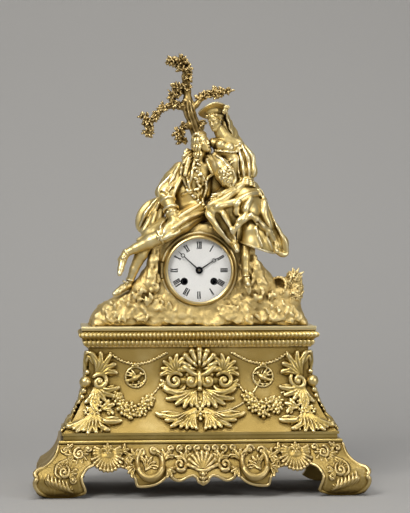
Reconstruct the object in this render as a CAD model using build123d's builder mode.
"""Gilt bronze mantel clock with two seated figures: case castings, movement and hinged doors.

Millimetres. +Z is up, the dial faces -Y, and the origin is on the shelf at the middle of the clock's box.
"""

import math
import os

from build123d import *

os.makedirs("parts", exist_ok=True)

# Case levels, measured up from the shelf
apron_top = 63.5
moulding_top = 77.5
body_top = 182.0
cornice_top = 208.5

# Case plan sizes
overall_depth = 168.0
foot_reach = 28.0
apron_relief = 4.0
lip_half_width = 177.5
moulding_step = 6.0
body_half_width = 139.0
body_flare = 32.5
body_straight = 22.0
cornice_overhang = 12.0
apron_wall = 8.0
case_wall = 5.0
back_step = 6.0
board_thickness = 5.0

# Plan lines that follow from those sizes
case_back = overall_depth / 2
lip_front = -case_back + foot_reach + apron_relief
body_back = case_back - back_step
body_front = lip_front + moulding_step + body_flare

# Dial and movement, with Y measured from the inner face of the front plate
dial_height = 279.0
dial_radius = 41.5
bore_radius = 43.5
bezel_radius = 44.6
sight_radius = 39.9
plate_radius = 40.5
plate_thickness = 2.5
plate_gap = 36.0
motion_space = 8.5
dial_thickness = 2.0
pan_thickness = 1.0
winding_x = 18.8
winding_drop = 14.1
winding_hole_radius = 3.8

# Running fits
pivot_radius = 0.5
arbor_radius = 0.7
pivot_clearance = 0.05
end_shake = 0.2
part_gap = 0.3

# Planes of the movement that follow from those sizes
plate_front = -plate_thickness
back_plate_rear = plate_gap + plate_thickness
dial_back = plate_front - motion_space
dial_face = dial_back - dial_thickness
terrace_front = dial_back
terrace_back = body_back - back_step
ring_face = terrace_back + dial_thickness


def write(piece, name):
    """Label a finished piece and write its STEP file."""
    piece.label = name
    export_step(piece, f"parts/{name}.step")
    print(name, round(piece.volume), len(piece.solids()))


def facing(y):
    """Plane that faces the viewer at depth y, with X to the right and Z up."""
    return Plane.XZ.offset(-y)


def dial_plane(y, place=(0, 0), turn=0.0):
    """Plane that faces the viewer at depth y, at a place measured from the dial's centre.

    Its own upward direction is turned clockwise by the given angle.
    """
    angle = math.radians(turn)
    return Plane(
        origin=(place[0], y, dial_height + place[1]),
        x_dir=(math.cos(angle), 0, -math.sin(angle)),
        z_dir=(0, -1, 0),
    )


def moulded_block(profile, half_width, front, back):
    """Block with a flat back, whose front and sides follow one moulded profile.

    Each step of the profile has a start, a middle point (or None for a straight) and an end,
    as distance outwards and height.
    """
    low = profile[0][0]
    high = profile[-1][2]
    with BuildPart() as block:
        with BuildSketch(Plane.XZ):
            with BuildLine():
                for start, middle, end in profile:
                    first = (half_width + start[0], start[1])
                    last = (half_width + end[0], end[1])
                    if middle:
                        ThreePointArc(first, (half_width + middle[0], middle[1]), last)
                    else:
                        Line(first, last)
                Line((half_width + high[0], high[1]), (0, high[1]))
                Line((half_width + low[0], low[1]), (0, low[1]))
                mirror(about=Plane.YZ)
            make_face()
        extrude(amount=3 * case_back, both=True)
        with BuildSketch(Plane.YZ):
            with BuildLine():
                for start, middle, end in profile:
                    first = (front - start[0], start[1])
                    last = (front - end[0], end[1])
                    if middle:
                        ThreePointArc(first, (front - middle[0], middle[1]), last)
                    else:
                        Line(first, last)
                Line((front - high[0], high[1]), (back, high[1]))
                Line((back, high[1]), (back, low[1]))
                Line((front - low[0], low[1]), (back, low[1]))
            make_face()
        extrude(amount=3 * lip_half_width, both=True, mode=Mode.INTERSECT)
    return block.part


def sweep_middle(flare, low, high):
    """Middle point of an arc that leaves the upright at the top and reaches the flare at the foot."""
    drop = high - low
    radius = (drop**2 + flare**2) / (2 * flare)
    return (radius - math.sqrt(radius**2 - drop**2 / 4), high - drop / 2)


def body_block(grow=0.0, past=0.0):
    """The base body's outer form, grown on its front and sides and run past its two ends."""
    bend = body_top - body_straight
    profile = [
        ((body_flare, moulding_top), sweep_middle(body_flare, moulding_top, bend), (0, bend)),
        ((0, bend), None, (0, body_top + past)),
    ]
    if past:
        profile.insert(0, ((body_flare, moulding_top - past), None, (body_flare, moulding_top)))
    return moulded_block(profile, body_half_width + grow, body_front - grow, body_back + min(grow, 0))


def apron_block(grow=0.0, past=0.0):
    """The apron's outer form without its scalloped lower edge."""
    reach = foot_reach
    profile = [
        ((reach - 16, 0), (reach - 4.5, 4.5), (reach, 14)),
        ((reach, 14), None, (reach, 25)),
        ((reach, 25), None, (reach - 5, 35)),
        ((reach - 5, 35), (10, 44), (0, apron_top)),
    ]
    if past:
        profile.insert(0, ((reach - 16, -past), None, (reach - 16, 0)))
        profile.append(((0, apron_top), None, (0, apron_top + past)))
    return moulded_block(profile, lip_half_width + grow, lip_front - grow, case_back + min(grow, 0))


def slab(half_width, front, back, low, high):
    """Rectangular slab between two levels."""
    with BuildPart() as block:
        with BuildSketch(Plane.XY.offset(low)):
            with Locations((0, (front + back) / 2)):
                Rectangle(2 * half_width, back - front)
        extrude(amount=high - low)
    return block.part


def upright_rods(places, radius, low, high):
    """Round rods that stand on the given places."""
    with BuildPart() as rods:
        with BuildSketch(Plane.XY.offset(low)):
            with Locations(*places):
                Circle(radius)
        extrude(amount=high - low)
    return rods.part


# Foot apron: one casting whose lower edge is scalloped between four bracket feet
foot_heel = 143.0
foot_crown = 39.0
drop_height = 15.0
side_heel = -case_back + 38
rear_heel = case_back - 34

with BuildPart() as foot_apron:
    add(apron_block())
    with BuildSketch(Plane.XZ):
        with BuildLine():
            ThreePointArc((0, drop_height), (5, drop_height + 3), (7, drop_height + 9))
            ThreePointArc((7, drop_height + 9), (13, drop_height + 11), (20, drop_height + 9))
            ThreePointArc((20, drop_height + 9), (29, drop_height + 5), (43.5, drop_height + 14))
            ThreePointArc((43.5, drop_height + 14), (58, drop_height + 1), (82, drop_height - 1))
            Line((82, drop_height - 1), (85, drop_height + 8))
            ThreePointArc((85, drop_height + 8), (89, drop_height + 17), (98, foot_crown - 3))
            ThreePointArc((98, foot_crown - 3), (114, foot_crown), (foot_heel - 12, foot_crown))
            ThreePointArc((foot_heel - 12, foot_crown), (foot_heel + 6, 24), (foot_heel, 8))
            ThreePointArc((foot_heel, 8), (foot_heel + 10, 2.4), (foot_heel + 22, 0))
            Line((foot_heel + 22, 0), (foot_heel + 22, -1))
            Line((foot_heel + 22, -1), (0, -1))
            mirror(about=Plane.YZ)
        make_face()
    extrude(amount=2 * case_back, both=True, mode=Mode.SUBTRACT)
    with BuildSketch(Plane.YZ):
        with BuildLine():
            ThreePointArc((side_heel, 0), (side_heel + 20, 22), (side_heel + 24, foot_crown))
            ThreePointArc((side_heel + 24, foot_crown), (10, drop_height + 5), (32, foot_crown))
            ThreePointArc((32, foot_crown), (36, 22), (rear_heel, 0))
            Line((rear_heel, 0), (rear_heel, -1))
            Line((rear_heel, -1), (side_heel, -1))
            Line((side_heel, -1), (side_heel, 0))
        make_face()
    extrude(amount=2 * lip_half_width, both=True, mode=Mode.SUBTRACT)
    add(apron_block(grow=-apron_wall, past=1.0), mode=Mode.SUBTRACT)
write(foot_apron.part, "foot_apron")

# Plinth moulding: a stepped frame that carries the body on the apron
lip_height = 5.0
fillet_height = 3.0
lip_top = apron_top + lip_height
fillet_low = moulding_top - fillet_height
rod_radius = 2.5
rod_x = body_half_width - 23
rod_places = [(x, y) for x in (-rod_x, rod_x) for y in (body_front + 19, body_back - 18)]
opening_half_width = body_half_width + 6
plinth_profile = [
    ((-2.5, apron_top), (0, apron_top + lip_height / 2), (-2.5, lip_top)),
    ((-2.5, lip_top), None, (-moulding_step, lip_top)),
    ((-moulding_step, lip_top), None, (-moulding_step, fillet_low)),
    ((-moulding_step, fillet_low), None, (2 - moulding_step, fillet_low)),
    ((2 - moulding_step, fillet_low), None, (2 - moulding_step, moulding_top)),
]

with BuildPart() as plinth_moulding:
    add(moulded_block(plinth_profile, lip_half_width, lip_front, body_back + 2))
    add(
        slab(opening_half_width, body_front + 9, body_back - 10, apron_top - 1, moulding_top + 1),
        mode=Mode.SUBTRACT,
    )
write(plinth_moulding.part, "plinth_moulding")

# Base board: closes the case from below and takes the tie rods
board_low = apron_top - board_thickness
board_half_width = lip_half_width - apron_wall - 1

with BuildPart() as base_board:
    board_front = lip_front + apron_wall + 1
    board_back = case_back - apron_wall - 1
    add(slab(board_half_width, board_front, board_back, board_low, apron_top))
    add(upright_rods(rod_places, rod_radius, board_low, apron_top), mode=Mode.SUBTRACT)
write(base_board.part, "base_board")

# Base body: hollow casting with swept front and sides
with BuildPart() as base_body:
    add(body_block())
    add(body_block(grow=-case_wall, past=1.0), mode=Mode.SUBTRACT)
write(base_body.part, "base_body")

# Cornice: leaf cove, gadrooned band and ledge that carry the terrace plate
plate_height = 5.0
plate_low = cornice_top - plate_height
cove_top = body_top + 11
band_top = cove_top + 10
ledge_out = cornice_overhang - 3
cornice_profile = [
    ((3, body_top), None, (3, body_top + 3)),
    ((3, body_top + 3), (5, body_top + 8), (8, cove_top)),
    ((8, cove_top), (cornice_overhang, (cove_top + band_top) / 2), (8, band_top)),
    ((8, band_top), None, (ledge_out, band_top)),
    ((ledge_out, band_top), None, (ledge_out, cornice_top)),
]
well_half_width = body_half_width - 8
well_front = body_front + 8
well_back = body_back - 8
slot_half_width = 30.0
slot_front = back_plate_rear - 1
slot_back = terrace_back - 6

with BuildPart() as cornice_frame:
    add(moulded_block(cornice_profile, body_half_width, body_front, body_back + 2))
    add(slab(well_half_width, well_front, well_back, body_top - 1, cornice_top + 1), mode=Mode.SUBTRACT)
write(cornice_frame.part, "cornice_frame")

with BuildPart() as terrace_plate:
    add(slab(well_half_width, well_front, well_back, plate_low, cornice_top))
    add(upright_rods(rod_places, rod_radius, plate_low, cornice_top), mode=Mode.SUBTRACT)
    with BuildSketch(Plane.XY.offset(plate_low)):
        with Locations((0, (slot_front + slot_back) / 2)):
            RectangleRounded(2 * slot_half_width, slot_back - slot_front, 8)
    extrude(amount=plate_height, mode=Mode.SUBTRACT)
write(terrace_plate.part, "terrace_plate")

# Tie rods and their nuts draw the base together
nut_height = 4.0
nut_across = 9.0

with BuildPart() as tie_rods:
    add(upright_rods(rod_places, rod_radius, board_low - nut_height - 2, cornice_top))
    for nut_low in (board_low - nut_height, plate_low - nut_height):
        with BuildSketch(Plane.XY.offset(nut_low)):
            with Locations(*rod_places):
                RegularPolygon(nut_across / 2, 6, major_radius=False)
        extrude(amount=nut_height)
write(tie_rods.part, "tie_rods")

# Movement: places are measured from the dial's centre, to the right and up


def meeting_point(first, second, first_reach, second_reach, side):
    """Point at two set distances from two places, on the chosen side of the line between them."""
    dx = second[0] - first[0]
    dz = second[1] - first[1]
    span = math.hypot(dx, dz)
    along = (first_reach**2 - second_reach**2 + span**2) / (2 * span)
    away = side * math.sqrt(first_reach**2 - along**2)
    return (
        first[0] + (along * dx - away * dz) / span,
        first[1] + (along * dz + away * dx) / span,
    )


def step_from(place, reach, angle):
    """Point at a set distance from a place, in a direction measured up from the right."""
    turn = math.radians(angle)
    return (place[0] + reach * math.cos(turn), place[1] + reach * math.sin(turn))


def heading(first, second):
    """Direction from one place to another, measured up from the right."""
    return math.degrees(math.atan2(second[1] - first[1], second[0] - first[0]))


# Tooth counts and modules of each mesh
great_teeth, second_pinion_teeth, great_module = 84, 12, 0.4
going_second_teeth, centre_pinion_teeth, going_second_module = 60, 10, 0.36
centre_teeth, third_pinion_teeth, centre_module = 80, 8, 0.27
third_teeth, escape_pinion_teeth, third_module = 80, 8, 0.25
strike_second_teeth, pin_pinion_teeth, strike_second_module = 64, 8, 0.3
pin_teeth, locking_pinion_teeth, pin_module = 64, 8, 0.27
locking_teeth, fly_pinion_teeth, locking_module = 60, 8, 0.25
cannon_teeth, minute_teeth, cannon_module = 12, 36, 0.5
minute_pinion_teeth, hour_teeth, hour_module = 10, 40, 0.48


def mesh_distance(teeth, partner_teeth, module):
    """Distance between two arbors whose teeth are in mesh."""
    return (teeth + partner_teeth) * module / 2


middle = (0.0, 0.0)
going_barrel_place = (winding_x, -winding_drop)
strike_barrel_place = (-winding_x, -winding_drop)
great_reach = mesh_distance(great_teeth, second_pinion_teeth, great_module)
going_second_reach = mesh_distance(going_second_teeth, centre_pinion_teeth, going_second_module)
going_second_place = meeting_point(going_barrel_place, middle, great_reach, going_second_reach, -1)
strike_second_place = (-going_second_place[0], going_second_place[1])
third_place = step_from(middle, mesh_distance(centre_teeth, third_pinion_teeth, centre_module), 100)
escape_place = step_from(third_place, mesh_distance(third_teeth, escape_pinion_teeth, third_module), 79)
pallet_place = (escape_place[0], escape_place[1] + 11.5)
pin_place = step_from(
    strike_second_place, mesh_distance(strike_second_teeth, pin_pinion_teeth, strike_second_module), 138.5
)
locking_place = step_from(pin_place, mesh_distance(pin_teeth, locking_pinion_teeth, pin_module), 69.5)
fly_place = step_from(locking_place, mesh_distance(locking_teeth, fly_pinion_teeth, locking_module), 68)
minute_place = step_from(middle, mesh_distance(cannon_teeth, minute_teeth, cannon_module), 135)
hammer_place = (-31.0, 16.0)
bell_place = (11.0, -8.0)
pillar_places = [(0.0, -36.0), (34.0, 12.0), (-36.0, 4.0), (19.0, 30.0)]
arbor_places = [
    going_second_place, third_place, escape_place, strike_second_place,
    pin_place, locking_place, fly_place, hammer_place,
]


def disc(place, radius, low, high):
    """Round disc or rod along Y between two depths."""
    with BuildPart() as round_bar:
        with BuildSketch(dial_plane(high, place)):
            Circle(radius)
        extrude(amount=high - low)
    return round_bar.part


def bar(place, width, height, low, high, turn=0.0):
    """Square-edged bar along Y between two depths."""
    with BuildPart() as square_bar:
        with BuildSketch(dial_plane(high, place, turn)):
            Rectangle(width, height)
        extrude(amount=high - low)
    return square_bar.part


def plate_shape(points, place, low, high):
    """Flat plate along Y between two depths, from an outline around a place."""
    with BuildPart() as flat:
        with BuildSketch(dial_plane(high, place)):
            with BuildLine():
                Polyline(*points, close=True)
            make_face()
        extrude(amount=high - low)
    return flat.part


def toothed_wheel(place, teeth, module, low, high, pointing, gap=False):
    """Gear along Y with a tooth, or a gap, centred on the direction it points in.

    The flanks follow an involute in short straights and are thinned for backlash.
    """
    pitch = teeth * module / 2
    pressure = math.radians(25)
    base = pitch * math.cos(pressure)
    levels = sorted({pitch - module, max(base, pitch - 0.9 * module), pitch, pitch + 0.7 * module})
    involute = math.tan(pressure) - pressure
    flank = []
    for radius in levels:
        slope = math.acos(min(1, base / radius))
        half = 0.44 * math.pi / teeth + involute - math.tan(slope) + slope
        flank.append((radius, half))
    first = math.radians(pointing) + (math.pi / teeth if gap else 0)
    points = []
    for number in range(teeth):
        axis = first + 2 * math.pi * number / teeth
        for radius, half in flank:
            points.append((radius * math.cos(axis - half), radius * math.sin(axis - half)))
        for radius, half in reversed(flank):
            points.append((radius * math.cos(axis + half), radius * math.sin(axis + half)))
    return plate_shape(points, place, low, high)


def slant_wheel(place, teeth, root, tip, lean, low, high):
    """Wheel with pointed teeth that lean one way, for a ratchet or an escapement."""
    points = []
    for number in range(teeth):
        axis = 2 * math.pi * number / teeth
        points.append((root * math.cos(axis), root * math.sin(axis)))
        points.append((tip * math.cos(axis + lean), tip * math.sin(axis + lean)))
        points.append((tip * math.cos(axis + lean + 0.03), tip * math.sin(axis + lean + 0.03)))
        late = axis + 1.5 * math.pi / teeth
        points.append((root * math.cos(late), root * math.sin(late)))
    return plate_shape(points, place, low, high)


def arbor(place, front=-plate_thickness, rear=back_plate_rear):
    """Arbor with a shoulder inside each plate and a fine pivot at each end."""
    with BuildPart() as shaft:
        add(disc(place, arbor_radius, end_shake, plate_gap - end_shake))
        add(disc(place, pivot_radius, front, rear))
    return shaft.part


# Movement plates with pivot holes, winding holes and four pillars
barrel_arbor_radius = 2.3
barrel_pivot_radius = 1.6
centre_front_radius = 0.95
pillar_radius = 2.5
screw_radius = 1.2
barrel_places = [going_barrel_place, strike_barrel_place]
stud_radius = 0.8

with BuildPart() as front_plate:
    add(disc(middle, plate_radius, plate_front, 0))
    with BuildSketch(dial_plane(0)):
        with Locations(*arbor_places, pallet_place):
            Circle(pivot_radius + pivot_clearance)
        with Locations(*barrel_places):
            Circle(barrel_pivot_radius + pivot_clearance)
        with Locations(*pillar_places):
            Circle(screw_radius)
        Circle(centre_front_radius + pivot_clearance)
    extrude(amount=plate_thickness, mode=Mode.SUBTRACT)
    add(disc(minute_place, stud_radius, dial_back + pan_thickness + part_gap, plate_front))
write(front_plate.part, "front_plate")

with BuildPart() as back_plate:
    add(disc(middle, plate_radius, plate_gap, back_plate_rear))
    with BuildSketch(dial_plane(back_plate_rear)):
        with Locations(*arbor_places, middle):
            Circle(pivot_radius + pivot_clearance)
        with Locations(*barrel_places):
            Circle(barrel_pivot_radius + pivot_clearance)
        with Locations(*pillar_places):
            Circle(screw_radius)
        with Locations(pallet_place):
            Circle(2.4)
        with Locations(bell_place):
            Circle(screw_radius)
    extrude(amount=plate_thickness, mode=Mode.SUBTRACT)
write(back_plate.part, "back_plate")

with BuildPart() as plate_pillars:
    for place in pillar_places:
        add(disc(place, pillar_radius, 0, plate_gap))
        add(disc(place, pillar_radius + 0.8, 4, 7))
        add(disc(place, pillar_radius + 0.8, plate_gap - 7, plate_gap - 4))
        add(disc(place, screw_radius, plate_front, back_plate_rear + 2))
    with BuildSketch(dial_plane(back_plate_rear + 1.8)):
        with Locations(*pillar_places):
            RegularPolygon(2.6, 6)
    extrude(amount=1.8)
write(plate_pillars.part, "plate_pillars")

# Barrels: each drum carries a great wheel and turns on its winding arbor
drum_radius = 15.2
drum_low, drum_high = 5.0, 20.0
great_high = 22.5
drum_wall = 1.2
drum_bore = barrel_arbor_radius + pivot_clearance
ratchet_low, ratchet_high = plate_front - 2.0, plate_front - 0.4
square_size = 3.2


def make_barrel(place, partner):
    """Spring drum with the great wheel as its rear flange."""
    with BuildPart() as barrel:
        add(disc(place, drum_radius, drum_low, drum_high))
        pointing = heading(place, partner)
        add(toothed_wheel(place, great_teeth, great_module, drum_high, great_high, pointing))
        add(disc(place, drum_radius - drum_wall, drum_low + drum_wall, drum_high), mode=Mode.SUBTRACT)
        add(disc(place, drum_bore, drum_low, great_high), mode=Mode.SUBTRACT)
    return barrel.part


def make_mainspring(place):
    """Coiled flat spring wound outwards from the arbor to the drum."""
    inner, outer, leaf, turns = 4.0, drum_radius - drum_wall - 0.4, 0.5, 7
    steps = turns * 20
    outside = []
    inside = []
    for number in range(steps + 1):
        angle = 2 * math.pi * number / 20
        radius = inner + (outer - inner) * number / steps
        outside.append((radius * math.cos(angle), radius * math.sin(angle)))
        inside.append(((radius - leaf) * math.cos(angle), (radius - leaf) * math.sin(angle)))
    return plate_shape(outside + inside[::-1], place, drum_low + drum_wall + 0.4, drum_high - 0.4)


def make_winding_arbor(place):
    """Winding arbor with a ratchet in front of the plate and a square for the key."""
    with BuildPart() as shaft:
        add(disc(place, barrel_arbor_radius, end_shake, plate_gap - end_shake))
        add(disc(place, barrel_pivot_radius, ratchet_low, back_plate_rear))
        add(bar(place, square_size, square_size, dial_face + 1.5, ratchet_low))
        add(slant_wheel(place, 24, 5.0, 6.2, 0.16, ratchet_low, ratchet_high))
    return shaft.part


with BuildPart() as going_barrel:
    add(make_barrel(going_barrel_place, going_second_place))
    add(make_mainspring(going_barrel_place))
write(going_barrel.part, "going_barrel")

with BuildPart() as strike_barrel:
    add(make_barrel(strike_barrel_place, strike_second_place))
    add(make_mainspring(strike_barrel_place))
write(strike_barrel.part, "strike_barrel")

with BuildPart() as going_winding_arbor:
    add(make_winding_arbor(going_barrel_place))
write(going_winding_arbor.part, "going_winding_arbor")

with BuildPart() as strike_winding_arbor:
    add(make_winding_arbor(strike_barrel_place))
write(strike_winding_arbor.part, "strike_winding_arbor")

# Clicks: each lies on the front plate with its nose just clear of the ratchet
click_reach = 6.9

with BuildPart() as ratchet_clicks:
    for place in barrel_places:
        nose = step_from(place, click_reach, 95)
        heel = step_from(place, 11.5, 60)
        add(disc(heel, 1.8, ratchet_low, plate_front))
        lift = heading(heel, nose)
        reach = math.hypot(nose[0] - heel[0], nose[1] - heel[1])
        halfway = ((nose[0] + heel[0]) / 2, (nose[1] + heel[1]) / 2)
        add(bar(halfway, reach, 1.0, ratchet_low, ratchet_high, turn=-lift))
write(ratchet_clicks.part, "ratchet_clicks")

# Going train from the barrel to the escape wheel
second_pinion_low, second_pinion_high = 19.5, 23.0

with BuildPart() as going_second_wheel:
    add(arbor(going_second_place))
    pointing = heading(going_second_place, middle)
    add(toothed_wheel(going_second_place, going_second_teeth, going_second_module, 27, 28.5, pointing))
    pointing = heading(going_second_place, going_barrel_place)
    add(
        toothed_wheel(
            going_second_place, second_pinion_teeth, great_module,
            second_pinion_low, second_pinion_high, pointing, gap=True,
        )
    )
write(going_second_wheel.part, "going_second_wheel")

with BuildPart() as centre_wheel:
    add(arbor(middle))
    add(disc(middle, centre_front_radius, dial_face - 5.2, 0.5))
    pointing = heading(middle, third_place)
    add(toothed_wheel(middle, centre_teeth, centre_module, 1.5, 3.0, pointing))
    pointing = heading(middle, going_second_place)
    add(toothed_wheel(middle, centre_pinion_teeth, going_second_module, 26.5, 29.5, pointing, gap=True))
write(centre_wheel.part, "centre_wheel")

with BuildPart() as third_wheel:
    add(arbor(third_place))
    pointing = heading(third_place, escape_place)
    add(toothed_wheel(third_place, third_teeth, third_module, 7, 8.2, pointing))
    pointing = heading(third_place, middle)
    add(toothed_wheel(third_place, third_pinion_teeth, centre_module, 1.0, 3.5, pointing, gap=True))
write(third_wheel.part, "third_wheel")

escape_radius = 9.0
escape_low, escape_high = 30.0, 31.2

with BuildPart() as escape_wheel:
    add(arbor(escape_place))
    add(slant_wheel(escape_place, 45, escape_radius - 1.4, escape_radius, 0.05, escape_low, escape_high))
    pointing = heading(escape_place, third_place)
    add(toothed_wheel(escape_place, escape_pinion_teeth, third_module, 6.5, 8.7, pointing, gap=True))
write(escape_wheel.part, "escape_wheel")

# Pallets, crutch, suspension and pendulum share the pallet arbor's axis
bridge_low, bridge_high = back_plate_rear + 2.5, back_plate_rear + 4.0
rod_depth = bridge_high + 2.5
crutch_drop = 18.0
rod_half = 1.2
pendulum_length = 159.0
bob_radius = 13.0
pallet_gap = 0.8
pallet_reach = escape_radius + pallet_gap
left_pallet = step_from(escape_place, pallet_reach, 130)
right_pallet = step_from(escape_place, pallet_reach, 50)
pallet_outline = [
    (0, 2.6),
    (right_pallet[0] - pallet_place[0] + 2.4, right_pallet[1] - pallet_place[1] + 1.5),
    (right_pallet[0] - pallet_place[0] + 0.6, right_pallet[1] - pallet_place[1]),
    (right_pallet[0] - pallet_place[0], right_pallet[1] - pallet_place[1] + 0.6),
    (0, -1.8),
    (left_pallet[0] - pallet_place[0], left_pallet[1] - pallet_place[1] + 0.6),
    (left_pallet[0] - pallet_place[0] - 0.6, left_pallet[1] - pallet_place[1]),
    (left_pallet[0] - pallet_place[0] - 2.4, left_pallet[1] - pallet_place[1] + 1.5),
]
fork_place = (pallet_place[0], pallet_place[1] - crutch_drop)
crutch_low, crutch_high = back_plate_rear + 0.5, back_plate_rear + 1.5

with BuildPart() as pallet_anchor:
    add(disc(pallet_place, arbor_radius, end_shake, crutch_high))
    add(disc(pallet_place, pivot_radius, plate_front, bridge_high))
    add(plate_shape(pallet_outline, pallet_place, escape_low - 0.4, escape_high + 0.4))
    add(disc(pallet_place, 2.0, crutch_low, crutch_high))
    halfway = (pallet_place[0], pallet_place[1] - crutch_drop / 2)
    add(bar(halfway, 1.6, crutch_drop, crutch_low, crutch_high))
    add(bar(fork_place, 5.4, 2.0, crutch_low, crutch_high))
    for side in (-1, 1):
        prong = (fork_place[0] + side * (rod_half + part_gap + 0.5), fork_place[1])
        add(bar(prong, 1.0, 2.0, crutch_low, rod_depth + 2))
write(pallet_anchor.part, "pallet_anchor")

chops_half = 3.0
chops_low, chops_high = 1.5, 7.5
bridge_feet = [(pallet_place[0] + side * 8.0, pallet_place[1] + 3.0) for side in (-1, 1)]

with BuildPart() as suspension_bridge:
    add(bar((pallet_place[0], pallet_place[1] + 2.0), 20, 9, bridge_low, bridge_high))
    for place in bridge_feet:
        add(disc(place, 1.8, back_plate_rear, bridge_low))
    chops_middle = (pallet_place[0], pallet_place[1] + (chops_low + chops_high) / 2)
    add(bar(chops_middle, 2 * chops_half, chops_high - chops_low, bridge_high, rod_depth + 3))
    slot_low, slot_high = rod_depth - 1.6, rod_depth + 1.6
    add(bar(chops_middle, 2.4, chops_high - chops_low, slot_low, slot_high), mode=Mode.SUBTRACT)
    add(disc(pallet_place, pivot_radius + pivot_clearance, bridge_low, bridge_high), mode=Mode.SUBTRACT)
write(suspension_bridge.part, "suspension_bridge")

pin_height = pallet_place[1] + chops_high + 0.7
bob_place = (pallet_place[0], pallet_place[1] - pendulum_length)
bob_half = 4.5

with BuildPart() as pendulum_rod:
    add(disc((pallet_place[0], pin_height), 0.6, rod_depth - 2.4, rod_depth + 2.4))
    spring_middle = (pallet_place[0], pallet_place[1] + 2.0)
    add(bar(spring_middle, 0.4, 2 * (pin_height - spring_middle[1]), rod_depth - 1.2, rod_depth + 1.2))
    rod_top = dial_height + pallet_place[1] - 3.5
    rod_low = dial_height + bob_place[1] - bob_radius - 7
    with Locations((pallet_place[0], rod_depth, rod_low)):
        Cylinder(rod_half, rod_top - rod_low, align=(Align.CENTER, Align.CENTER, Align.MIN))
    with Locations((pallet_place[0], rod_depth, rod_low + 2)):
        Cylinder(2.8, 3.0, align=(Align.CENTER, Align.CENTER, Align.MIN))
write(pendulum_rod.part, "pendulum_rod")

with BuildPart() as pendulum_bob:
    with BuildSketch(Plane.YZ.offset(pallet_place[0])):
        with BuildLine():
            low, high = dial_height + bob_place[1], dial_height + bob_place[1] + bob_radius
            Polyline(
                (rod_depth - bob_half, low), (rod_depth - bob_half, low + 5), (rod_depth - 1, high),
                (rod_depth + 1, high), (rod_depth + bob_half, low + 5), (rod_depth + bob_half, low),
                close=True,
            )
        make_face()
    revolve(axis=Axis((pallet_place[0], 0, dial_height + bob_place[1]), (0, 1, 0)))
    with Locations((pallet_place[0], rod_depth, dial_height + bob_place[1])):
        Cylinder(rod_half, 4 * bob_radius, mode=Mode.SUBTRACT)
write(pendulum_bob.part, "pendulum_bob")

# Strike train from its barrel to the fly
with BuildPart() as strike_second_wheel:
    add(arbor(strike_second_place, rear=back_plate_rear + 3.2))
    pointing = heading(strike_second_place, pin_place)
    add(
        toothed_wheel(
            strike_second_place, strike_second_teeth, strike_second_module, 25, 26.2, pointing
        )
    )
    pointing = heading(strike_second_place, strike_barrel_place)
    add(
        toothed_wheel(
            strike_second_place, second_pinion_teeth, great_module,
            second_pinion_low, second_pinion_high, pointing, gap=True,
        )
    )
write(strike_second_wheel.part, "strike_second_wheel")

count_radius = 9.0
count_low, count_high = back_plate_rear + 1.5, back_plate_rear + 2.7

with BuildPart() as count_wheel:
    add(disc(strike_second_place, count_radius, count_low, count_high))
    with BuildSketch(dial_plane(count_high, strike_second_place)):
        blows = [1, 3, 6, 10, 15, 21, 28, 36, 45, 55, 66, 78]
        for total in blows:
            with PolarLocations(count_radius, 1, start_angle=360 * total / 90):
                Rectangle(2.6, 0.8)
    extrude(amount=count_high - count_low, mode=Mode.SUBTRACT)
    add(disc(strike_second_place, pivot_radius, count_low, count_high), mode=Mode.SUBTRACT)
write(count_wheel.part, "count_wheel")

lift_pin_circle = 7.0

with BuildPart() as strike_pin_wheel:
    add(arbor(pin_place))
    pointing = heading(pin_place, locking_place)
    add(toothed_wheel(pin_place, pin_teeth, pin_module, 12, 13.2, pointing))
    pointing = heading(pin_place, strike_second_place)
    add(toothed_wheel(pin_place, pin_pinion_teeth, strike_second_module, 24.5, 26.7, pointing, gap=True))
    with BuildSketch(dial_plane(17, pin_place)):
        with PolarLocations(lift_pin_circle, 8):
            Circle(0.5)
    extrude(amount=4)
write(strike_pin_wheel.part, "strike_pin_wheel")

with BuildPart() as strike_locking_wheel:
    add(arbor(locking_place))
    pointing = heading(locking_place, fly_place)
    add(toothed_wheel(locking_place, locking_teeth, locking_module, 18, 19.2, pointing))
    pointing = heading(locking_place, pin_place)
    add(toothed_wheel(locking_place, locking_pinion_teeth, pin_module, 11.5, 13.7, pointing, gap=True))
    add(disc(step_from(locking_place, 5.5, 30), 0.4, 19.0, 20.4))
write(strike_locking_wheel.part, "strike_locking_wheel")

with BuildPart() as strike_fly:
    add(arbor(fly_place))
    pointing = heading(fly_place, locking_place)
    add(toothed_wheel(fly_place, fly_pinion_teeth, locking_module, 17.5, 19.7, pointing, gap=True))
    add(bar(fly_place, 10.0, 0.5, 21.5, 28))
    add(disc(fly_place, 1.3, 21.5, 28))
write(strike_fly.part, "strike_fly")

# Bell behind the back plate, with its stand and hammer
bell_radius = 26.0
bell_wall = 1.2
bell_mouth, bell_crown = back_plate_rear + 11.5, back_plate_rear + 25.5
stand_radius = 2.0
hammer_head_radius = 2.6
hammer_depth = bell_mouth + 3.0
bell_hole = screw_radius + pivot_clearance
bell_centre = (bell_place[0], 0, dial_height + bell_place[1])

with BuildPart() as bell:
    with BuildSketch(Plane(origin=bell_centre, x_dir=(1, 0, 0), z_dir=(0, 0, 1))):
        with BuildLine():
            ThreePointArc((bell_radius, bell_mouth), (bell_radius - 4, bell_crown - 4), (11, bell_crown))
            Line((11, bell_crown), (bell_hole, bell_crown))
            Line((bell_hole, bell_crown), (bell_hole, bell_crown - bell_wall))
            Line((bell_hole, bell_crown - bell_wall), (11, bell_crown - bell_wall))
            ThreePointArc(
                (11, bell_crown - bell_wall),
                (bell_radius - 4 - bell_wall, bell_crown - 4 - bell_wall),
                (bell_radius - bell_wall, bell_mouth),
            )
            Line((bell_radius - bell_wall, bell_mouth), (bell_radius, bell_mouth))
        make_face()
    revolve(axis=Axis((bell_place[0], 0, dial_height + bell_place[1]), (0, 1, 0)))
write(bell.part, "bell")

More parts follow.
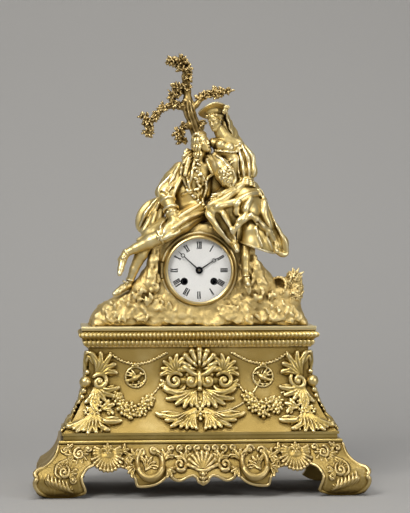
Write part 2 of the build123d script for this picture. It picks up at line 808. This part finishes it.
with BuildPart() as bell_stand:
    add(disc(bell_place, stand_radius, back_plate_rear, bell_crown - bell_wall))
    add(disc(bell_place, screw_radius, plate_gap, bell_crown + 3))
    add(disc(bell_place, 2.6, bell_crown, bell_crown + 2))
write(bell_stand.part, "bell_stand")

head_place = step_from(bell_place, bell_radius + 0.4 + hammer_head_radius, 170)

with BuildPart() as strike_hammer:
    add(arbor(hammer_place, rear=hammer_depth + 1))
    reach = math.hypot(head_place[0] - hammer_place[0], head_place[1] - hammer_place[1])
    halfway = ((head_place[0] + hammer_place[0]) / 2, (head_place[1] + hammer_place[1]) / 2)
    lift = heading(hammer_place, head_place)
    add(bar(halfway, reach, 1.4, hammer_depth - 1, hammer_depth + 1, turn=-lift))
    add(disc(hammer_place, 1.6, hammer_depth - 1, hammer_depth + 1))
    add(disc(head_place, hammer_head_radius, hammer_depth - 2.5, hammer_depth + 2.5))
    tail = heading(hammer_place, pin_place)
    add(bar(step_from(hammer_place, 1.6, tail), 3.2, 1.0, 14, 16, turn=-tail))
write(strike_hammer.part, "strike_hammer")

# Motion work between the front plate and the dial
cannon_radius = 1.9
hour_pipe_radius = 3.2
minute_hand_low = dial_face - 4.0
hour_hand_low = dial_face - 2.2
hand_thickness = 0.8

with BuildPart() as cannon_pinion:
    add(disc(middle, cannon_radius, minute_hand_low, plate_front - 0.4))
    pointing = heading(middle, minute_place)
    add(
        toothed_wheel(
            middle, cannon_teeth, cannon_module, plate_front - 3.0, plate_front - 0.4, pointing, gap=True
        )
    )
    bore = centre_front_radius + pivot_clearance
    add(disc(middle, bore, minute_hand_low, plate_front), mode=Mode.SUBTRACT)
write(cannon_pinion.part, "cannon_pinion")

with BuildPart() as minute_wheel:
    pointing = heading(minute_place, middle)
    add(
        toothed_wheel(
            minute_place, minute_teeth, cannon_module, plate_front - 2.6, plate_front - 1.0, pointing
        )
    )
    add(
        toothed_wheel(
            minute_place, minute_pinion_teeth, hour_module,
            plate_front - 6.0, plate_front - 2.6, pointing, gap=True,
        )
    )
    add(
        disc(minute_place, stud_radius + pivot_clearance, plate_front - 6.0, plate_front - 1.0),
        mode=Mode.SUBTRACT,
    )
write(minute_wheel.part, "minute_wheel")

with BuildPart() as hour_wheel:
    add(disc(middle, hour_pipe_radius, hour_hand_low, plate_front - 4.0))
    pointing = heading(middle, minute_place)
    add(
        toothed_wheel(
            middle, hour_teeth, hour_module, plate_front - 5.4, plate_front - 4.0, pointing
        )
    )
    add(
        disc(middle, cannon_radius + pivot_clearance, hour_hand_low, plate_front - 4.0),
        mode=Mode.SUBTRACT,
    )
write(hour_wheel.part, "hour_wheel")


def make_hand(low, hub, bore, ring_centre, ring_radius, tip, turn):
    """Hand with a round hub, an open ring along its arm and a pointed tip."""
    with BuildPart() as hand:
        with BuildSketch(dial_plane(low + hand_thickness, turn=turn)):
            Circle(hub)
            with BuildLine():
                Polyline(
                    (-0.9, 0), (-0.55, ring_centre - ring_radius + 0.4),
                    (0.55, ring_centre - ring_radius + 0.4), (0.9, 0), close=True,
                )
            make_face()
            with Locations((0, ring_centre)):
                Circle(ring_radius)
                Circle(ring_radius - 0.8, mode=Mode.SUBTRACT)
            with BuildLine():
                start = ring_centre + ring_radius - 0.4
                Polyline((-0.8, start), (0, tip), (0.8, start), close=True)
            make_face()
            Circle(bore, mode=Mode.SUBTRACT)
        extrude(amount=hand_thickness)
    return hand.part


hour_angle = 56.0
minute_angle = 312.0

with BuildPart() as hour_hand:
    add(
        make_hand(
            hour_hand_low, 4.6, hour_pipe_radius,
            0.56 * sight_radius, 2.6, 0.70 * sight_radius, hour_angle,
        )
    )
write(hour_hand.part, "hour_hand")

with BuildPart() as minute_hand:
    add(
        make_hand(
            minute_hand_low, 3.2, cannon_radius,
            0.70 * sight_radius, 2.6, 0.92 * sight_radius, minute_angle,
        )
    )
write(minute_hand.part, "minute_hand")

# Dial on its pan, with a flange that seats on the front of the terrace
flange_radius = 45.0
pan_tube_radius = bore_radius - 0.2
pan_tube_inner = pan_tube_radius - 0.9
hand_hole_radius = 4.2
dial_feet = [(0.0, 30.0), (29.5, -5.2), (-29.5, -5.2)]

with BuildPart() as dial_pan:
    add(disc(middle, pan_tube_radius, dial_back, plate_front))
    add(disc(middle, pan_tube_inner, dial_back + pan_thickness, plate_front), mode=Mode.SUBTRACT)
    add(disc(middle, flange_radius, dial_face, dial_back))
    add(disc(middle, dial_radius + 0.1, dial_face, dial_back), mode=Mode.SUBTRACT)
    with BuildSketch(dial_plane(dial_back + pan_thickness)):
        Circle(hand_hole_radius + 0.6)
        with Locations(*barrel_places):
            Circle(winding_hole_radius + 0.6)
    extrude(amount=pan_thickness, mode=Mode.SUBTRACT)
    for place in dial_feet:
        add(disc(place, 2.0, dial_back + pan_thickness, plate_front))
write(dial_pan.part, "dial_pan")

with BuildPart() as enamel_dial:
    with BuildSketch(dial_plane(dial_back)):
        Circle(dial_radius)
        Circle(hand_hole_radius, mode=Mode.SUBTRACT)
        with Locations(*barrel_places):
            Circle(winding_hole_radius, mode=Mode.SUBTRACT)
    extrude(amount=dial_thickness)
write(enamel_dial.part, "enamel_dial")

# Hinged bezel with its domed glass, and the hinged rear cover
hinge_x = -bezel_radius - 2.3
knuckle_radius = 1.6
hinge_pin_radius = 0.7
knuckle_half = 4.0
fixed_knuckle = 5.0
bezel_seat = dial_face - 0.2
bezel_axis = dial_face - 1.7
cover_seat = ring_face + 0.2
cover_axis = ring_face + 1.7


def knuckle(axis_depth, low, high):
    """Length of hinge barrel on an upright axis beside the dial or the rear cover."""
    with BuildPart() as barrel:
        with BuildSketch(Plane.XY.offset(dial_height + low)):
            with Locations((hinge_x, axis_depth)):
                Circle(knuckle_radius)
        extrude(amount=high - low)
    return barrel.part


def pin_hole(axis_depth, radius):
    """Rod on the hinge axis, long enough to pass every knuckle."""
    reach = knuckle_half + fixed_knuckle + 0.2
    with BuildPart() as rod:
        with BuildSketch(Plane.XY.offset(dial_height - reach)):
            with Locations((hinge_x, axis_depth)):
                Circle(radius)
        extrude(amount=2 * reach)
    return rod.part


def leaf(low_depth, high_depth, low, high, inner):
    """Flat hinge leaf from the hinge axis towards the dial."""
    with BuildPart() as tab:
        with BuildSketch(Plane.XY.offset(dial_height + low)):
            with Locations(((hinge_x + inner) / 2, (low_depth + high_depth) / 2)):
                Rectangle(inner - hinge_x, high_depth - low_depth)
        extrude(amount=high - low)
    return tab.part


def ring_on_axis(points, arcs):
    """Ring turned about the dial's axis from a section of straights and arcs.

    Points are radius and depth; an arc's middle point is given against its starting corner.
    """
    with BuildPart() as ring:
        with BuildSketch(Plane(origin=(0, 0, dial_height), x_dir=(1, 0, 0), z_dir=(0, 0, 1))):
            with BuildLine():
                for number, start in enumerate(points):
                    end = points[(number + 1) % len(points)]
                    if number in arcs:
                        ThreePointArc(start, arcs[number], end)
                    else:
                        Line(start, end)
            make_face()
        revolve(axis=Axis((0, 0, dial_height), (0, 1, 0)))
    return ring.part




def dome_middle(edge, rise):
    """Middle point of a dome's section, as radius and distance below its crown."""
    radius = (edge**2 + rise**2) / (2 * rise)
    half = math.asin(edge / radius) / 2
    return (radius * math.sin(half), radius * (1 - math.cos(half)))


rabbet_radius = sight_radius + 1.5
glass_front = bezel_seat - 5.6
glass_thickness = 1.4
glass_rise = 3.6
bezel_nose = bezel_seat - 8.2

with BuildPart() as bezel_ring:
    add(
        ring_on_axis(
            [
                (bezel_radius, bezel_seat), (bezel_radius, bezel_seat - 4), (41.6, bezel_nose),
                (sight_radius, bezel_nose + 1), (sight_radius, glass_front),
                (rabbet_radius, glass_front), (rabbet_radius, bezel_seat),
            ],
            {1: (bezel_radius - 0.8, bezel_seat - 6.6)},
        )
    )
    add(knuckle(bezel_axis, -knuckle_half, knuckle_half))
    add(leaf(bezel_axis - 1, bezel_axis + 1, -knuckle_half, knuckle_half, 1.5 - bezel_radius))
    add(pin_hole(bezel_axis, hinge_pin_radius + pivot_clearance), mode=Mode.SUBTRACT)
write(bezel_ring.part, "bezel_ring")

glass_edge = sight_radius - 0.3
glass_middle = dome_middle(glass_edge, glass_rise)
glass_crown = glass_front - glass_rise

with BuildPart() as bezel_glass:
    add(
        ring_on_axis(
            [
                (0, glass_crown), (glass_edge, glass_front), (rabbet_radius - 0.1, glass_front),
                (rabbet_radius - 0.1, glass_front + glass_thickness),
                (glass_edge, glass_front + glass_thickness), (0, glass_crown + glass_thickness),
            ],
            {
                0: (glass_middle[0], glass_crown + glass_middle[1]),
                4: (glass_middle[0], glass_crown + glass_thickness + glass_middle[1]),
            },
        )
    )
write(bezel_glass.part, "bezel_glass")

with BuildPart() as bezel_hinge:
    for side in (-1, 1):
        low, high = sorted((side * (knuckle_half + 0.2), side * (knuckle_half + 0.2 + fixed_knuckle)))
        add(knuckle(bezel_axis, low, high))
        add(leaf(bezel_axis, dial_back, low, high, 2 - bezel_radius))
    add(pin_hole(bezel_axis, hinge_pin_radius))
    add(disc(middle, flange_radius, bezel_axis - 2, dial_back + 1), mode=Mode.SUBTRACT)
write(bezel_hinge.part, "bezel_hinge")

lug_inner = 36.0
strap_inner, strap_outer = plate_radius + 0.2, 42.2
lug_low = terrace_back - 2.0
lug_screw_x = 39.0

with BuildPart() as rear_ring:
    add(disc(middle, flange_radius, terrace_back, ring_face))
    add(disc(middle, lug_inner, terrace_back, ring_face), mode=Mode.SUBTRACT)
    with BuildSketch(dial_plane(ring_face)):
        with Locations((-lug_screw_x, 0), (lug_screw_x, 0)):
            Circle(screw_radius)
    extrude(amount=ring_face - terrace_back, mode=Mode.SUBTRACT)
    for side in (-1, 1):
        low, high = sorted((side * (knuckle_half + 0.2), side * (knuckle_half + 0.2 + fixed_knuckle)))
        add(knuckle(cover_axis, low, high))
        add(leaf(terrace_back, ring_face, low, high, 2 - bezel_radius))
        add(leaf(terrace_back, cover_axis, low, high, -flange_radius))
    add(pin_hole(cover_axis, hinge_pin_radius))
write(rear_ring.part, "rear_ring")

cover_rise = 4.0
cover_edge = bezel_radius - 1.5
cover_crown = cover_seat + 2.5 + cover_rise
cover_middle = dome_middle(cover_edge, cover_rise)
knob_place = (bezel_radius - 4, 0)

with BuildPart() as rear_cover:
    add(
        ring_on_axis(
            [
                (bezel_radius, cover_seat),
                (bezel_radius, cover_seat + 2.5),
                (cover_edge, cover_seat + 2.5),
                (0, cover_crown), (0, cover_crown - 1.2), (cover_edge, cover_seat + 1.3),
                (cover_edge, cover_seat),
            ],
            {
                2: (cover_middle[0], cover_crown - cover_middle[1]),
                4: (cover_middle[0], cover_crown - 1.2 - cover_middle[1]),
            },
        )
    )
    add(knuckle(cover_axis, -knuckle_half, knuckle_half))
    add(leaf(cover_axis - 1, cover_axis + 0.8, -knuckle_half, knuckle_half, 0.8 - bezel_radius))
    add(pin_hole(cover_axis, hinge_pin_radius + pivot_clearance), mode=Mode.SUBTRACT)
    add(disc(knob_place, 1.5, cover_seat + 2, cover_seat + 6))
write(rear_cover.part, "rear_cover")

with BuildPart() as case_straps:
    for side in (-1, 1):
        width = strap_outer - strap_inner
        strap_middle = side * (strap_inner + strap_outer) / 2
        add(bar((strap_middle, 0), width, 8, dial_back + pan_thickness, terrace_back))
        lug_middle = side * (lug_inner + strap_outer) / 2
        add(bar((lug_middle, 0), strap_outer - lug_inner, 8, lug_low, terrace_back))
        add(disc((side * lug_screw_x, 0), screw_radius, lug_low - 2, ring_face))
        add(disc((side * lug_screw_x, 0), 2.2, ring_face, ring_face + 1.2))
write(case_straps.part, "case_straps")

# Cast ornament that lies on the swept faces of the base
mount_relief = 6.0
swag_relief = 4.0


def face_prism(outlines, front, back):
    """Prisms along Y from outlines given as X and Z."""
    with BuildPart() as prism:
        for points in outlines:
            with BuildSketch(facing(back)):
                with BuildLine():
                    Polyline(*points, close=True)
                make_face()
            extrude(amount=back - front)
    return prism.part


def dotted_prism(spots, front, back):
    """Prisms along Y from round spots given as X, Z and radius."""
    with BuildPart() as prism:
        with BuildSketch(facing(back)):
            for x, z, radius in spots:
                with Locations((x, z)):
                    Circle(radius)
        extrude(amount=back - front)
    return prism.part


def mirrored(points):
    """The same outline on the other side of the clock."""
    return [(-x, z) for x, z in points]


def both_sides(points):
    """Closed outline from its right half, given from the top of the middle line to its foot."""
    return points + mirrored(points)[-2:0:-1]


def hanging(first, lowest, last, count, radius):
    """Round spots along a hanging curve through three places."""
    spots = []
    for number in range(count):
        t = number / (count - 1)
        x = (1 - t) ** 2 * first[0] + 2 * t * (1 - t) * lowest[0] + t**2 * last[0]
        z = (1 - t) ** 2 * first[1] + 2 * t * (1 - t) * lowest[1] + t**2 * last[1]
        spots.append((x, z, radius))
    return spots


body_shell = body_block(grow=mount_relief) - body_block()
swag_shell = body_block(grow=swag_relief) - body_block()
apron_shell = apron_block(grow=apron_relief) - apron_block()
face_near = -2 * case_back
panel_high = body_top - 1.5
panel_low = moulding_top + 1.5

cartouche_half = [
    (0, panel_high), (14, panel_high - 1), (24, 172), (27, 160), (36, 158), (42, 148), (36, 138),
    (44, 128), (46, 120), (34, 114), (30, 106), (52, 104), (62, 98), (58, 88), (36, 84), (18, 86),
    (8, panel_low + 1), (0, panel_low),
]

with BuildPart() as front_cartouche:
    add(body_shell)
    add(face_prism([both_sides(cartouche_half)], face_near, 0), mode=Mode.INTERSECT)
write(front_cartouche.part, "front_cartouche")

corner_outline = [
    (lip_half_width + 30, panel_high), (126, panel_high), (118, 168), (122, 152), (112, 146), (106, 128),
    (112, 118), (100, 110), (104, 94), (122, 86), (130, panel_low), (lip_half_width + 30, panel_low),
]
corner_side = [
    (face_near, panel_high), (4, panel_high), (-2, 168), (0, 150), (8, 140), (2, 124), (-6, 114),
    (4, 100), (-8, 90), (-14, panel_low), (face_near, panel_low),
]

with BuildPart() as corner_mounts:
    add(body_shell)
    add(
        face_prism([corner_outline, mirrored(corner_outline)], face_near, 2 * case_back),
        mode=Mode.INTERSECT,
    )
    with BuildSketch(Plane.YZ):
        with BuildLine():
            Polyline(*corner_side, close=True)
        make_face()
    extrude(amount=2 * lip_half_width, both=True, mode=Mode.INTERSECT)
write(corner_mounts.part, "corner_mounts")

trophy_x, trophy_z = 73.0, 143.0
trophy_radius = 11.5
trophy_spots = [(side * trophy_x, trophy_z, trophy_radius) for side in (-1, 1)]
trophy_holes = [(side * trophy_x, trophy_z, trophy_radius - 3.5) for side in (-1, 1)]

with BuildPart() as front_garlands:
    add(swag_shell)
    chain = hanging((102, 169), (74, 152), (38, 174), 21, 2.2)
    flowers = hanging((93, 121), (72, 90), (52, 117), 9, 4.6)
    spots = [(side * x, z, radius) for side in (-1, 1) for x, z, radius in chain + flowers]
    add(dotted_prism(spots + trophy_spots, face_near, 0), mode=Mode.INTERSECT)
    add(dotted_prism(trophy_holes, face_near, 0), mode=Mode.SUBTRACT)
write(front_garlands.part, "front_garlands")

shell_x, shell_z, shell_radius = 114.5, 46.0, 17.0
palmette_half = [(0, 58), (10, 54), (20, 44), (17, 32), (9, 28), (4, 20), (0, drop_height + 2)]
oval_half_width, oval_half_height = 17.0, 20.0
oval_x, oval_z = 62.0, 40.0
oval = [
    (
        oval_x + oval_half_width * math.cos(math.radians(15 * step)),
        oval_z + oval_half_height * math.sin(math.radians(15 * step)),
    )
    for step in range(24)
]
toe = lip_half_width + foot_reach + apron_relief
foot_leaf = [
    (toe + 5, 6), (foot_heel + 22, 4), (foot_heel + 9, 12), (foot_heel + 12, 30),
    (foot_heel + 26, 42), (toe - 14, 44), (toe + 5, 36),
]

with BuildPart() as apron_mounts:
    add(apron_shell)
    with BuildPart(mode=Mode.INTERSECT):
        add(
            face_prism(
                [both_sides(palmette_half), oval, mirrored(oval), foot_leaf, mirrored(foot_leaf)],
                face_near, lip_front,
            )
        )
        shells = [(side * shell_x, shell_z, shell_radius) for side in (-1, 1)]
        add(dotted_prism(shells, face_near, lip_front))
    add(foot_apron.part, mode=Mode.SUBTRACT)
write(apron_mounts.part, "apron_mounts")

# Rock terrace: hollow casting with a drum for the movement
terrace_wall = 6.0
drum_wall_radius = bore_radius + 3.0
seat_height = dial_height + 59.0
bank_height = dial_height + 78.0
terrace_outline = [
    (-137, cornice_top), (-136, 220), (-124, 238), (-96, 252), (-75, 262), (-62, dial_height + 3),
    (-58, dial_height + 35), (-40, seat_height - 7), (-20, seat_height - 1), (22, seat_height + 2),
    (34, bank_height - 2), (76, bank_height), (86, bank_height - 24), (84, 292), (98, 264), (130, 243),
    (140, 222), (140, cornice_top),
]
terrace_hollow = [
    (-130, cornice_top), (-129, 218), (-119, 231), (-92, 245), (-70, 256), (-55, dial_height + 1),
    (-51, dial_height + 33), (-37, seat_height - 14), (-19, seat_height - 8), (26, seat_height - 5),
    (38, bank_height - 9), (71, bank_height - 8), (79, bank_height - 25), (77, 290), (93, 257), (126, 236),
    (133, 220), (133, cornice_top),
]
terrace_side = [
    (terrace_front - 8, cornice_top), (terrace_front - 8, cornice_top + 5),
    (terrace_front, cornice_top + 22), (terrace_front, seat_height - 6), (0, bank_height + 1),
    (terrace_back - 8, bank_height + 1), (terrace_back, seat_height - 6), (terrace_back, cornice_top),
]

with BuildPart() as terrace_block:
    add(face_prism([terrace_outline], terrace_front - 9, terrace_back))
    with BuildSketch(Plane.YZ):
        with BuildLine():
            Polyline(*terrace_side, close=True)
        make_face()
    extrude(amount=2 * lip_half_width, both=True, mode=Mode.INTERSECT)

with BuildPart() as rock_terrace:
    add(terrace_block.part)
    add(
        face_prism([terrace_hollow], terrace_front + terrace_wall, terrace_back - terrace_wall),
        mode=Mode.SUBTRACT,
    )
    add(disc(middle, drum_wall_radius, terrace_front, terrace_back))
    add(disc(middle, bore_radius, terrace_front, terrace_back), mode=Mode.SUBTRACT)
    add(slab(slot_half_width, slot_front, slot_back, cornice_top, dial_height), mode=Mode.SUBTRACT)
write(rock_terrace.part, "rock_terrace")


def faceted_bar(place, way, across, radius, length, taper):
    """Eight-sided bar that narrows along its way."""
    with BuildPart() as shape:
        with BuildSketch(Plane(origin=place, x_dir=across, z_dir=way)):
            RegularPolygon(radius, 8, major_radius=False)
        extrude(amount=length, taper=taper)
    return shape.part


def limb(*joints):
    """Faceted limb with blunt ends, through joints given as X, Y, Z and radius."""
    with BuildPart() as shape:
        for ends in zip(joints, joints[1:]):
            thick, thin = sorted(ends, key=lambda joint: -joint[3])
            first, last = Vector(*thick[:3]), Vector(*thin[:3])
            way = last - first
            across = way.cross(Vector(0.31, 0.2, 0.93))
            slope = math.degrees(math.atan2(thick[3] - thin[3], way.length))
            add(faceted_bar(first, way, across, thick[3], way.length, slope))
            add(faceted_bar(first, way * -1, across, thick[3], 0.7 * thick[3], 40))
            add(faceted_bar(last, way, across, thin[3], 0.7 * thin[3], 40))
    return shape.part


def dished_disc(place, normal, radius, thickness, crown, crown_height):
    """Round brim with a raised crown, facing along its normal."""
    with BuildPart() as hat:
        with Locations(Plane(origin=place, z_dir=normal)):
            Cylinder(radius, thickness, align=(Align.CENTER, Align.CENTER, Align.MIN))
            Cone(crown, 0.6 * crown, crown_height, align=(Align.CENTER, Align.CENTER, Align.MIN))
    return hat.part


# Seated shepherd: body, head and cloak
with BuildPart() as shepherd_body:
    add(limb((-2, 14, seat_height + 8, 17), (-6, 15, 386, 17), (-4, 14, 404, 15), (1, 9, 420, 8)))
    add(limb((-20, 13, 407, 10), (-30, 11, 404, 10.5), (-42, 5, 373, 10.5)))
    add(limb((-42, 5, 373, 10), (-36, -13, 352, 6.5), (-34, -21, seat_height, 6)))
    add(limb((6, 12, 410, 10), (15, 9, 408, 10), (25, -3, 383, 10), (15, -14, 375, 6)))
    add(limb((-6, 4, seat_height + 8, 15), (-46, -22, 324, 11), (-93, -17, 303, 6), (-101, -24, 279, 5)))
    add(limb((-12, 12, seat_height + 5, 14), (-66, -9, 321, 10.5), (-88, -7, 264, 6.5)))
    add(limb((-88, -7, 264, 6), (-107, -16, 249, 5.5)))
    add(terrace_block.part, mode=Mode.SUBTRACT)
write(shepherd_body.part, "shepherd_body")

with BuildPart() as shepherd_head:
    add(limb((8, 3, 437, 11.5), (3, 7, 442, 12.5)))
    add(limb((-4, 13, 441, 11), (-9, 16, 424, 9), (-12, 16, 413, 7)))
    add(shepherd_body.part, mode=Mode.SUBTRACT)
write(shepherd_head.part, "shepherd_head")

with BuildPart() as shepherd_cloak:
    add(limb((-44, 24, 366, 8), (-60, 24, 352, 14), (-68, 22, 340, 11)))
    add(limb((-60, 24, 348, 11), (-58, 20, 322, 9)))
    add(terrace_block.part, mode=Mode.SUBTRACT)
    add(shepherd_body.part, mode=Mode.SUBTRACT)
write(shepherd_cloak.part, "shepherd_cloak")

# Seated shepherdess: skirt, bodice, head and sun hat
with BuildPart() as shepherdess_skirt:
    add(limb((52, 16, 380, 19), (22, -18, 355, 15), (43, -22, 318, 8)))
    add(limb((54, 16, 380, 19), (58, -18, 356, 18), (68, -20, 318, 13)))
    add(limb((58, 16, 378, 19), (76, 2, 350, 14), (84, -12, 316, 9)))
    add(limb((40, -20, 354, 16), (55, -22, 320, 10)))
    add(limb((46, -24, 314, 4.5), (44, -30, 306, 4.5)))
    add(limb((57, -20, 310, 5.5), (57, -22, 274, 4.5), (59, -30, 265, 4.8)))
    add(limb((72, 16, 378, 10), (98, 10, 334, 11), (113, 6, 300, 8)))
    add(terrace_block.part, mode=Mode.SUBTRACT)
    add(shepherd_body.part, mode=Mode.SUBTRACT)
write(shepherdess_skirt.part, "shepherdess_skirt")

with BuildPart() as shepherdess_bodice:
    add(limb((48, 17, 394, 12), (46, 17, 404, 11.5), (40, 14, 428, 14), (32, 13, 441, 8), (25, 10, 457, 6)))
    add(limb((49, 16, 431, 9), (57, 16, 430, 9), (63, 10, 396, 11.5), (36, -10, 380, 6), (22, -14, 374, 5)))
    add(limb((31, 10, 434, 8), (33, 3, 424, 8), (42, -4, 398, 9), (22, -8, 398, 5)))
    add(shepherdess_skirt.part, mode=Mode.SUBTRACT)
    add(shepherd_body.part, mode=Mode.SUBTRACT)
    add(shepherd_head.part, mode=Mode.SUBTRACT)
write(shepherdess_bodice.part, "shepherdess_bodice")

with BuildPart() as shepherdess_head:
    add(limb((21, 5, 466, 10), (25, 10, 473, 12)))
    add(limb((36, 18, 475, 7), (48, 24, 452, 6), (58, 27, 437, 5)))
    add(shepherdess_bodice.part, mode=Mode.SUBTRACT)
write(shepherdess_head.part, "shepherdess_head")

with BuildPart() as sun_hat:
    add(dished_disc((21, 7, 483), (-0.15, 0.38, 0.91), 20, 2.6, 12, 9))
    add(limb((32, -5, 487, 6), (38, 3, 488, 6)))
    add(shepherdess_head.part, mode=Mode.SUBTRACT)
write(sun_hat.part, "sun_hat")

# Tree behind the figures, with its branches and leaf clumps
with BuildPart() as tree_trunk:
    add(limb((13, 44, seat_height - 10, 9), (11, 44, 380, 7.5), (9, 42, 432, 7)))
    add(limb((9, 42, 432, 7), (-2, 38, 464, 6.5), (-9, 36, 484, 6)))
    add(limb((-9, 36, 484, 6), (-12, 36, 509, 5), (-13, 35, 535, 8), (-23, 35, 551, 8)))
    add(limb((-12, 36, 512, 6), (-27, 34, 506, 8)))
    add(terrace_block.part, mode=Mode.SUBTRACT)
    add(shepherd_body.part, mode=Mode.SUBTRACT)
    add(shepherd_head.part, mode=Mode.SUBTRACT)
    add(shepherdess_skirt.part, mode=Mode.SUBTRACT)
    add(shepherdess_bodice.part, mode=Mode.SUBTRACT)
write(tree_trunk.part, "tree_trunk")

with BuildPart() as tree_branches:
    add(limb((-9, 36, 484, 4), (-32, 33, 492, 7), (-54, 30, 484, 9), (-67, 27, 462, 8.5)))
    add(limb((-9, 36, 484, 4), (6, 33, 496, 7), (26, 29, 505, 9), (42, 26, 508, 8)))
    add(limb((-2, 38, 464, 4), (-22, 32, 453, 8)))
    add(tree_trunk.part, mode=Mode.SUBTRACT)
    add(shepherd_head.part, mode=Mode.SUBTRACT)
    add(sun_hat.part, mode=Mode.SUBTRACT)
write(tree_branches.part, "tree_branches")

# Basket of flowers on its side at the foot of the rocks
basket_place = (112, -4, 262)

with BuildPart() as flower_basket:
    with Locations(Plane(origin=basket_place, z_dir=(0.75, 0.1, 0.5))):
        Cone(13, 10, 20, align=(Align.CENTER, Align.CENTER, Align.MIN))
    add(limb((108, -8, 262, 9), (100, -10, 257, 8), (112, -8, 252, 8)))
    add(terrace_block.part, mode=Mode.SUBTRACT)
write(flower_basket.part, "flower_basket")
